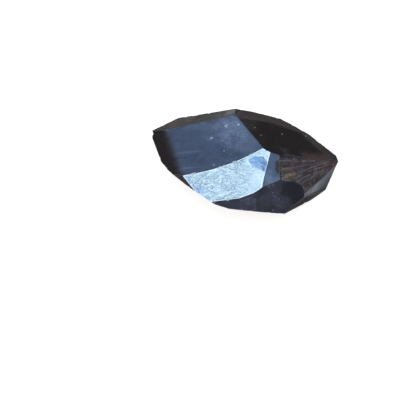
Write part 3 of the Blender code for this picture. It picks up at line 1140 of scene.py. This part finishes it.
# %% Fibrous
LIP = 0.55            # how far the bright lip lies inside the break, mm
fibrous = Coat("fibrous hematite", (0.265, 0.20, 0.182), 0.85, 0.32)
wide, fine, steps = ribs(fibrous.tree, *fan(fibrous.tree, fibrous.where), RIB_WIDTH)
fibrous.layer(0.6, (0.42, 0.335, 0.325), fine, rough=0.28)
ochre = fibrous.stain((11.6, -5.0, 11.2), 2.8, 0.45, 0.6)
fibrous.layer(0.8, (0.26, 0.205, 0.105), ochre, metal=0.65, rough=0.40)
rust = fibrous.stain((21.2, 3.0, 7.4), 3.0, 0.6, 0.9)
fibrous.layer(0.85, (0.075, 0.042, 0.036), rust, metal=0.8, rough=0.42)
shaded = fibrous.stain((17.0, -3.2, 8.2), 3.8, 0.4, 0.5)
fibrous.layer(0.5, (0.09, 0.075, 0.078), shaded, rough=0.38)
fibrous.layer(0.7, (0.05, 0.038, 0.038), fibrous.ramp(wide, 0.65, 0.15), rough=0.45)
fibrous.layer(0.35, (0.11, 0.085, 0.082), steps, rough=0.42)
fibrous.layer(0.4, (0.09, 0.07, 0.065), fibrous.mottling(1.2, 8.0), rough=0.45)
off_lip = sums(fibrous.tree, "SUBTRACT", stored(fibrous.tree, "inset"), LIP)
lip = fibrous.ramp(sums(fibrous.tree, "ABSOLUTE", off_lip), 0.05, 0.25, 1.0, 0.0)
fibrous.layer(0.7, (0.50, 0.44, 0.42), lip, fibrous.stain((11.2, -5.6, 11.2), 1.8, 0.3, 0.5),
              rough=0.3)
fibrous.layer(0.55, (0.46, 0.42, 0.43), fibrous.veins(1.6, 0.035, 12.0), rough=0.3)
fibrous.layer(0.4, DUST, fibrous.specks(1.3, 0.18, 12.0), metal=0.3, rough=0.5)
fibrous.raise_by(fine, 0.04)
fibrous.finish(3.5, 0.02, detail=4.0, rough=0.6)

# %% [markdown]
# ### The weathered faces
# Around the back and below, the crystal kept the skin that it had in the ground: pitted, covered
# with a brown-grey film, stained with rust here and there, and banded by the layers of its growth.
# Near the ground the film is also painted shade, and the edges get a light rim that is partly wear
# and partly a painted highlight.

# %% Weathered
RED_BROWN = (0.15, 0.075, 0.055)
STAINS = (((-18.0, 6.9, 8.9), 2.8, (0.25, 0.155, 0.115)),
          ((-14.4, 8.8, 9.6), 2.0, (0.25, 0.21, 0.15)),
          ((-4.6, 9.9, 12.2), 2.2, (0.42, 0.42, 0.43)), ((-8.0, 13.0, 5.0), 4.0, RED_BROWN),
          ((6.0, -12.0, 3.0), 4.0, RED_BROWN), ((17.0, 9.0, 2.5), 3.0, RED_BROWN),
          ((16.8, -6.6, 4.9), 2.4, (0.05, 0.045, 0.042)))
weathered = Coat("weathered hematite", (0.21, 0.205, 0.205), 0.9, 0.30)
# The film, which is also painted shade on the faces near the ground.
weathered.layer(0.9, FILMED_AND_SHADED, weathered.mask("film_and_shade"), metal=0.8, rough=0.38)
weathered.clouds([((-4.5, 9.6, 12.2), 7.0, 0.9), ((-0.5, 14.0, 6.0), 6.0, 0.4),
                  ((12.0, 11.0, 3.0), 4.0, 0.4), ((-12.0, -12.0, 4.0), 5.0, 0.4)],
                 (0.30, 0.30, 0.31), rough=0.28)
weathered.layer(0.4, (0.07, 0.058, 0.050), weathered.mottling(3.0, 14.0), metal=0.7, rough=0.46)
weathered.layer(0.35, (0.19, 0.19, 0.19), weathered.mottling(0.9, 15.0), rough=0.28)
for centre, radius, tint in STAINS:
    weathered.layer(0.6, tint, weathered.stain(centre, radius, 0.9, 0.8), metal=0.7, rough=0.45)
growth = grain(weathered.tree, weathered.where, 0.0, (9.0, 9.0, 0.5), detail=3.0, rough=0.6)
weathered.layer(0.4, (0.20, 0.20, 0.205), weathered.ramp(growth, 0.56, 0.66), rough=0.26)
weathered.layer(0.4, (0.045, 0.04, 0.037), weathered.ramp(growth, 0.44, 0.34), rough=0.42)
weathered.layer(0.5, DUST, weathered.specks(1.1, 0.16, 18.0), metal=0.2, rough=0.6)
# Lighter edges: partly wear, partly a painted rim highlight.
weathered.layer(0.5, (0.26, 0.26, 0.26), weathered.mask("wear_and_highlight", Width=0.3), rough=0.28)
weathered.raise_by(growth, 0.05)
weathered.finish(2.6, 0.05, detail=5.0, rough=0.65)

# %% [markdown]
# ### The ridges
# Handling polishes the ridges first, and they are painted as the brightest metal on the crystal,
# lightest on top: partly real polish, partly a painted highlight where they catch the light. They
# have dull spots where they are nicked. Around the break they are splintered and painted dark,
# partly as shadow along the break, and at the point rusty.

# %% Ridge
# A bright base, lightest in a cloud on top: partly polish, partly a painted highlight.
ridge = Coat("worn ridge with painted highlight", (0.52, 0.53, 0.54), 1.0, 0.24)
# The film darkens the outer ridges, partly as painted shade.
ridge.layer(0.9, FILMED_AND_SHADED, ridge.mask("film_and_shade"), metal=0.85, rough=0.36)
ridge.layer(0.3, (0.42, 0.42, 0.42), ridge.mottling(0.5, 22.0), rough=0.30)
ridge.layer(0.35, (0.16, 0.15, 0.145), ridge.mottling(2.4, 24.0), rough=0.34)
ridge.layer(0.7, (0.22, 0.22, 0.225), ridge.mottling(1.0, 21.0), rough=0.34)
ridge.clouds([((-1.0, -6.0, 13.2), 10.5, 0.85)], (0.60, 0.60, 0.59), rough=0.24)
# Darker near the break: partly splintered ore, partly painted shadow along its border.
splintered_and_shadow = ridge.ramp(stored(ridge.tree, "to_break"), 0.30, 0.7, 1.0, 0.0)
ridge.layer(0.9, (0.12, 0.10, 0.10), splintered_and_shadow, metal=0.9, rough=0.36)
point = ridge.stain((21.6, 3.6, 7.4), 3.2, 0.6, 0.8)
ridge.layer(0.85, (0.085, 0.045, 0.038), point, metal=0.8, rough=0.42)
ridge.finish(3.0, 0.02, detail=3.0)

# %% [markdown]
# ## Pressing the relief in
# Now the skin becomes an object, and the trees press their relief into it one after another, each
# with its own sizes and its material. The result is taken as a plain mesh, and the modifiers are
# removed, so that what is kept is geometry and no longer a recipe.

# %% Press all of it
crystal = bpy.data.objects.new("crystal", skin)
bpy.context.scene.collection.objects.link(crystal)
for polygon in skin.polygons:
    polygon.use_smooth = True
skin.materials.append(ridge.material)      # what the trees don't cover keeps this one

for tree, coat, values in (
        (break_relief, fibrous, {"Depth": 0.44, "Rib width": RIB_WIDTH}),
        (crinkle_relief, crinkled, {"Depth": 0.20, "Cell": CELL, "Bend": BEND}),
        (polished_relief, polished, {"Depth": 0.05, "Seed": 11.0, "Swell": 4.0, "Dips": 1.0,
                                     "Pits": 0.0, "Steps": 0.0}),
        (weathered_relief, weathered, {"Depth": 0.24, "Seed": 17.0, "Swell": 3.0, "Dips": 0.15,
                                       "Pits": 0.35, "Steps": 0.25}),
        (ridge_relief, ridge, {"Depth": 0.16, "Seed": 23.0, "Nibble": 1.0})):
    press(crystal, tree, {**values, "Material": coat.material})

bpy.context.view_layer.update()
shaped = bpy.data.meshes.new_from_object(crystal.evaluated_get(
    bpy.context.evaluated_depsgraph_get()))
crystal.modifiers.clear()
crystal.data = shaped
shaped.name = "crystal"
print("materials on the mesh:", [m.name if m else None for m in shaped.materials])

# %% [markdown]
# ## Shading
# Where two faces meet in a sharp ridge, light must change at once, and inside a face it must
# change smoothly. So every corner of every tile is told its own normal: the average over its own
# patch. A tile on a worn strip takes the normals of the faces on either side, and so looks round.

# %% Normals, patch by patch
def read(mesh_data, field, size, kind=float):
    values = np.empty(size, kind)
    mesh_data.foreach_get(field, values)
    return values


def corner_normals(mesh):
    places = read(mesh.vertices, "co", len(mesh.vertices) * 3).reshape(-1, 3)
    corners = read(mesh.loops, "vertex_index", len(mesh.loops), int)
    tiles = corners.reshape(-1, 3)
    corner_patch = np.repeat(read(mesh.attributes["patch"].data, "value", len(tiles), int), 3)
    area = np.cross(places[tiles[:, 1]] - places[tiles[:, 0]],
                    places[tiles[:, 2]] - places[tiles[:, 0]])

    def averaged(keys, use):
        total = np.zeros((keys.max() + 1, 3))
        for axis in range(3):
            total[:, axis] = np.bincount(keys[use], np.repeat(area[:, axis], 3)[use], len(total))
        return total[keys]

    keys = corners * len(patches) + corner_patch
    own = averaged(keys, np.full(len(keys), True))
    faces_only = averaged(corners, corner_patch > 0)
    on_strip = (corner_patch == 0) & (np.linalg.norm(faces_only, axis=1) > 0.0)
    result = np.where(on_strip[:, None], faces_only, own)
    return result / np.linalg.norm(result, axis=1)[:, None]


normals = corner_normals(shaped)
shaped.normals_split_custom_set(normals.tolist())
print("corner normals:", len(normals))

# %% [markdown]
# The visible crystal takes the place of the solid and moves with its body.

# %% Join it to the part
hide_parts("hematite_crystal")
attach(crystal, "root")
print("crystal:", len(shaped.polygons), "triangles")

# %% [markdown]
# ## The studio
# A mirror-like face shows only what it reflects, so the studio matters as much as the materials.
# The eye sees white paper and white air. The faces see a dim floor instead, with one brighter
# card on it to the right of the crystal. So they stay dark, and only the lowest ones at the right
# catch the card. The Light Path node tells the two kinds of seeing apart.

# %% Floor
HALF = 0.16                       # half the width of the paper, m
PAPER_GLOW, PAPER_GREY = 0.75, (0.4, 0.4, 0.4, 1)
DIM, CARD = 0.09, 0.42            # how bright the floor is in a reflection, and what the card adds
COOL = (0.95, 0.98, 1.12)         # the tint of both
NEAR_EDGE, FAR_EDGE, SIDE_EDGE = (0.0180, 0.0225), (0.03, 0.06), (0.004, 0.008)   # of the card, m
floor_mesh = bpy.data.meshes.new("floor")
floor_mesh.from_pydata([(-HALF, -HALF, 0), (HALF, -HALF, 0), (HALF, HALF, 0), (-HALF, HALF, 0)],
                       [], [(0, 1, 2, 3)])
floor = bpy.data.objects.new("floor", floor_mesh)
bpy.context.scene.collection.objects.link(floor)
paper = bpy.data.materials.new("paper")
paper.use_nodes = True
sheet = paper.node_tree
sheet.nodes.clear()
glow = wire(sheet, "ShaderNodeEmission", {"Color": (1, 1, 1, 1), "Strength": PAPER_GLOW})
matt = wire(sheet, "ShaderNodeBsdfDiffuse", {"Color": PAPER_GREY})
seen = wire(sheet, "ShaderNodeAddShader", {0: glow, 1: matt})
middle = wire(sheet, "ShaderNodeTexCoord", out="Object")
across = dot(sheet, middle, (0.8, -0.6, 0.0))      # distances from the middle, m
along_card = dot(sheet, middle, (0.6, 0.8, 0.0))
card = times(sheet, ramp(sheet, across, *NEAR_EDGE), ramp(sheet, across, *FAR_EDGE, 1.0, 0.0),
             ramp(sheet, along_card, *SIDE_EDGE))
tint = scaled(sheet, COOL, sums(sheet, "MULTIPLY_ADD", card, CARD, DIM))
mirrored = wire(sheet, "ShaderNodeBsdfDiffuse", {"Color": tint})
in_mirror = wire(sheet, "ShaderNodeLightPath", out="Is Glossy Ray")
both = wire(sheet, "ShaderNodeMixShader", {0: in_mirror, 1: seen, 2: mirrored})
wire(sheet, "ShaderNodeOutputMaterial", {"Surface": both})
floor_mesh.materials.append(paper)
print("floor nodes:", len(sheet.nodes))

# %% [markdown]
# The room is painted by direction. A ramp goes from a brown horizon up to a blue sky, and four
# soft glows are added to it, each aimed like a lamp. The brightest stands high at the front left,
# where the broad face and the bright face look, and turns them blue-white. Matt surfaces get an
# even warm light instead, and the camera sees white.

# %% Room
SKY = {       # height, from the horizon to straight up, and colour
    0.0: (0.10, 0.088, 0.078), 0.10: (0.050, 0.041, 0.037), 0.2: (0.094, 0.080, 0.076),
    0.6: (0.17, 0.20, 0.28), 0.75: (0.24, 0.35, 0.58), 1.0: (0.32, 0.50, 0.85),
}
GLOWS = (     # azimuth, elevation and reach in degrees, colour
    (-62, 14, 50, (0.036, 0.062, 0.145)),
    (-135, 70, 33, (1.3, 1.65, 1.75)),
    (125, 52, 40, (0.033, 0.063, 0.13)),
    (108, 0, 30, (0.29, 0.265, 0.235)),
)
WARM = (1.0, 0.93, 0.86, 1)
world = bpy.data.worlds.new("room")
bpy.context.scene.world = world
world.use_nodes = True
room = world.node_tree
room.nodes.clear()
look = wire(room, "ShaderNodeTexCoord", out="Generated")
sky = wire(room, "ShaderNodeValToRGB", {"Fac": part(room, look, "Z")}, out="Color")
stops = sky.node.color_ramp.elements
for height in list(SKY)[1:-1]:
    stops.new(height)             # a new ramp has only the first stop and the last
for stop, colour in zip(stops, SKY.values()):
    stop.color = (*colour, 1.0)
for azimuth, elevation, reach, colour in GLOWS:
    aimed = dot(room, look, facing(azimuth, 90 - elevation))
    share = ramp(room, aimed, math.cos(math.radians(reach)), 1.0)
    sky = move(room, "ADD", sky, scaled(room, colour, share))
for_mirrors, for_matt, for_camera = (
    wire(room, "ShaderNodeBackground", {"Color": colour, "Strength": strength})
    for colour, strength in ((sky, 1.0), (WARM, 1.1), ((1, 1, 1, 1), 1.0)))
rays = wire(room, "ShaderNodeLightPath", out="Is Camera Ray")
lit = wire(room, "ShaderNodeMixShader",
           {0: rays.node.outputs["Is Diffuse Ray"], 1: for_mirrors, 2: for_matt})
both = wire(room, "ShaderNodeMixShader", {0: rays, 1: lit, 2: for_camera})
wire(room, "ShaderNodeOutputWorld", {"Surface": both})
print("stops:", [(round(stop.position, 2), round(stop.color[2], 3)) for stop in stops])

# %% [markdown]
# Two softboxes give the sharp brightness that a painted room can't: a blue-white one overhead and
# a warm one in front. Their power is worked out from the brightness wanted on their surface, so a
# box can be made larger without making it brighter.

# %% Softboxes
def softbox(name, centre, size, brightness, colour):
    light = bpy.data.lights.new(name, "AREA")
    light.shape = "RECTANGLE"
    light.size, light.size_y = size
    light.energy = brightness * math.pi * size[0] * size[1]
    light.color = colour
    box = bpy.data.objects.new(name, light)
    box.location = centre
    box.rotation_euler = (-Vector(centre)).to_track_quat("-Z", "Y").to_euler()
    bpy.context.scene.collection.objects.link(box)
    print(name, "W:", round(light.energy, 3))


softbox("overhead", (-0.04, -0.035, 0.40), (0.29, 0.25), 1.2, (0.62, 0.88, 1.0))
softbox("front", (0.0, -0.40, 0.38), (0.45, 0.30), 1.5, (1.0, 0.95, 0.9))

# %% [markdown]
# The camera looks down at the crystal from the front, as one looks at a stone on a table, with a
# long lens so that the faces keep their proportions.

# %% Camera
FOCAL, SENSOR = 100.0, 36.0       # mm
TILT, TURN = math.radians(33.0), math.radians(10.0)     # up from straight down, and to the left
camera_data = bpy.data.cameras.new("camera")
camera_data.lens, camera_data.sensor_width = FOCAL, SENSOR
camera = bpy.data.objects.new("camera", camera_data)
camera.location = (0.01658, -0.15136, 0.22392)
camera.rotation_euler = (TILT, 0.0, TURN)
bpy.context.scene.collection.objects.link(camera)
bpy.context.scene.camera = camera
bpy.context.scene.view_settings.view_transform = "Standard"
print("camera to crystal, m:", round(camera.location.length, 3))
